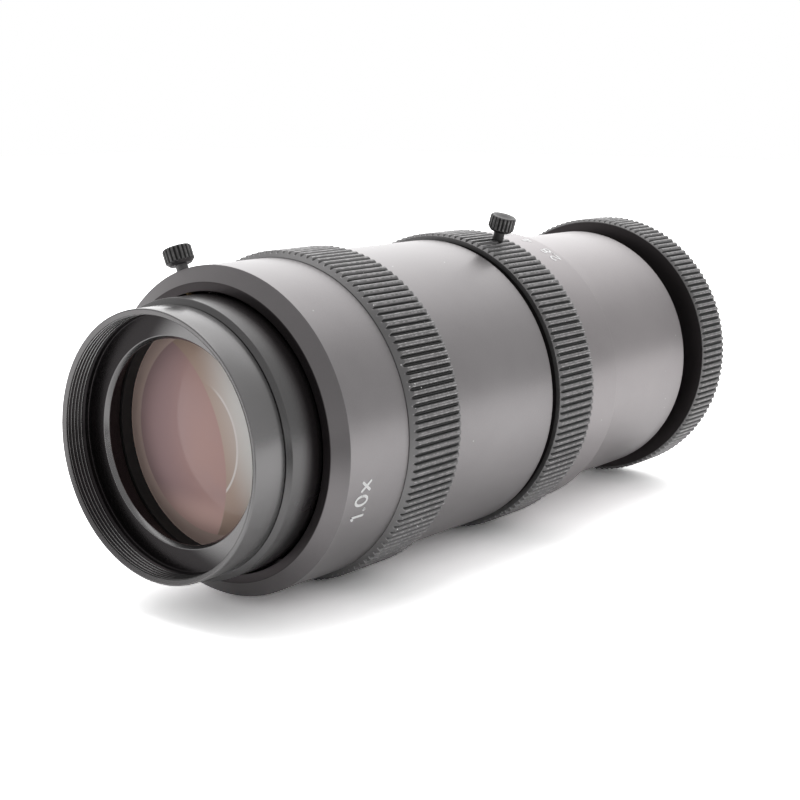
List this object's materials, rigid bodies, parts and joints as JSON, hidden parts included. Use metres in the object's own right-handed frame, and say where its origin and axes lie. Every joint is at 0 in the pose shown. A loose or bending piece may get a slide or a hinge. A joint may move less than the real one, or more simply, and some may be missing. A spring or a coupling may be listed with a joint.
{
  "type": "telecentric lens",
  "caption": "Large black telecentric lens with knurled focus and iris rings, lock screws and a turning camera mount",
  "frame": {"origin": "centre of the camera thread's free end, on the optical axis", "axes": "+Z along the optical axis toward the object side; -Y is the side that faces up in the picture"},
  "size_m": [0.0834, 0.0891, 0.21],
  "materials": {
    "black_anodised": "satin black anodised",
    "black_screw_steel": "black oxide",
    "pin_steel": "ground",
    "brass_pad": "turned",
    "coated_glass": "polished, anti-reflection coated"
  },
  "bodies": {
    "barrel": {"main_barrel": "black_anodised", "front_housing": "black_anodised", "rear_barrel": "black_anodised", "iris_plate": "black_anodised", "iris_retaining_ring": "black_anodised", "rear_cell": "black_anodised", "rear_lens": "coated_glass", "rear_spacer": "black_anodised", "rear_crown": "coated_glass", "rear_flint": "coated_glass", "rear_retaining_ring": "black_anodised", "mount_snap_ring": "pin_steel"},
    "nose": {"focus_sleeve": "black_anodised", "nose_barrel": "black_anodised", "front_retaining_ring": "black_anodised", "front_lens": "coated_glass", "front_spacer": "black_anodised", "front_crown": "coated_glass", "front_flint": "coated_glass", "focus_pin": "pin_steel"},
    "focus_control": {"focus_ring": "black_anodised"},
    "iris_control": {"iris_ring": "black_anodised", "iris_drive_pin": "pin_steel", "iris_cam_ring": "black_anodised"},
    "camera_mount": {"mount_ring": "black_anodised"},
    "front_pad": {"front_lock_pad": "brass_pad"},
    "front_screw": {"front_lock_screw": "black_screw_steel"},
    "iris_pad": {"iris_lock_pad": "brass_pad"},
    "iris_screw": {"iris_lock_screw": "black_screw_steel"},
    "blade_1": {"iris_blade_1": "pin_steel"},
    "blade_2": {"iris_blade_2": "pin_steel"},
    "blade_3": {"iris_blade_3": "pin_steel"},
    "blade_4": {"iris_blade_4": "pin_steel"},
    "blade_5": {"iris_blade_5": "pin_steel"},
    "blade_6": {"iris_blade_6": "pin_steel"},
    "blade_7": {"iris_blade_7": "pin_steel"},
    "blade_8": {"iris_blade_8": "pin_steel"}
  },
  "joints": [
    {"name": "focus_turn", "type": "hinge", "parent": "barrel", "child": "focus_control", "pos_m": [0, 0, 0.1572], "axis": [0, 0, 1], "range_deg": [-60, 60]},
    {"name": "nose_slide", "type": "slide", "parent": "barrel", "child": "nose", "axis": [0, 0, 1], "range_m": [-0.003, 0.003]},
    {"name": "iris_turn", "type": "hinge", "parent": "barrel", "child": "iris_control", "pos_m": [0, 0, 0.0947], "axis": [0, 0, 1], "range_deg": [0, 50]},
    {"name": "mount_turn", "type": "hinge", "parent": "barrel", "child": "camera_mount", "pos_m": [0, 0, 0.0142], "axis": [0, 0, 1], "continuous": true},
    {"name": "front_pad_slide", "type": "slide", "parent": "barrel", "child": "front_pad", "axis": [0.3827, -0.9239, 0], "range_m": [0, 0.001]},
    {"name": "front_screw_turn", "type": "hinge", "parent": "front_pad", "child": "front_screw", "pos_m": [0.01646, -0.03973, 0.1845], "axis": [0.3827, -0.9239, 0], "range_deg": [0, 720]},
    {"name": "iris_pad_slide", "type": "slide", "parent": "iris_control", "child": "iris_pad", "axis": [-0.2924, -0.9563, 0], "range_m": [0, 0.001]},
    {"name": "iris_screw_turn", "type": "hinge", "parent": "iris_pad", "child": "iris_screw", "pos_m": [-0.01316, -0.04303, 0.0914], "axis": [-0.2924, -0.9563, 0], "range_deg": [0, 720]},
    {"name": "blade_1_turn", "type": "hinge", "parent": "barrel", "child": "blade_1", "pos_m": [0.031, 0, 0.0985], "axis": [0, 0, 1], "range_deg": [0, 25]},
    {"name": "blade_2_turn", "type": "hinge", "parent": "barrel", "child": "blade_2", "pos_m": [0.02192, 0.02192, 0.0985], "axis": [0, 0, 1], "range_deg": [0, 25]},
    {"name": "blade_3_turn", "type": "hinge", "parent": "barrel", "child": "blade_3", "pos_m": [0, 0.031, 0.0985], "axis": [0, 0, 1], "range_deg": [0, 25]},
    {"name": "blade_4_turn", "type": "hinge", "parent": "barrel", "child": "blade_4", "pos_m": [-0.02192, 0.02192, 0.0985], "axis": [0, 0, 1], "range_deg": [0, 25]},
    {"name": "blade_5_turn", "type": "hinge", "parent": "barrel", "child": "blade_5", "pos_m": [-0.031, 0, 0.0985], "axis": [0, 0, 1], "range_deg": [0, 25]},
    {"name": "blade_6_turn", "type": "hinge", "parent": "barrel", "child": "blade_6", "pos_m": [-0.02192, -0.02192, 0.0985], "axis": [0, 0, 1], "range_deg": [0, 25]},
    {"name": "blade_7_turn", "type": "hinge", "parent": "barrel", "child": "blade_7", "pos_m": [0, -0.031, 0.0985], "axis": [0, 0, 1], "range_deg": [0, 25]},
    {"name": "blade_8_turn", "type": "hinge", "parent": "barrel", "child": "blade_8", "pos_m": [0.02192, -0.02192, 0.0985], "axis": [0, 0, 1], "range_deg": [0, 25]}
  ],
  "couplings": [
    {"joint": "focus_turn", "follows": "nose_slide", "rad_per_m": -349.06},
    {"joint": "front_screw_turn", "follows": "front_pad_slide", "rad_per_m": 12566},
    {"joint": "iris_screw_turn", "follows": "iris_pad_slide", "rad_per_m": 12566},
    {"joint": "blade_1_turn", "follows": "iris_turn", "ratio": 0.5},
    {"joint": "blade_2_turn", "follows": "iris_turn", "ratio": 0.5},
    {"joint": "blade_3_turn", "follows": "iris_turn", "ratio": 0.5},
    {"joint": "blade_4_turn", "follows": "iris_turn", "ratio": 0.5},
    {"joint": "blade_5_turn", "follows": "iris_turn", "ratio": 0.5},
    {"joint": "blade_6_turn", "follows": "iris_turn", "ratio": 0.5},
    {"joint": "blade_7_turn", "follows": "iris_turn", "ratio": 0.5},
    {"joint": "blade_8_turn", "follows": "iris_turn", "ratio": 0.5}
  ]
}
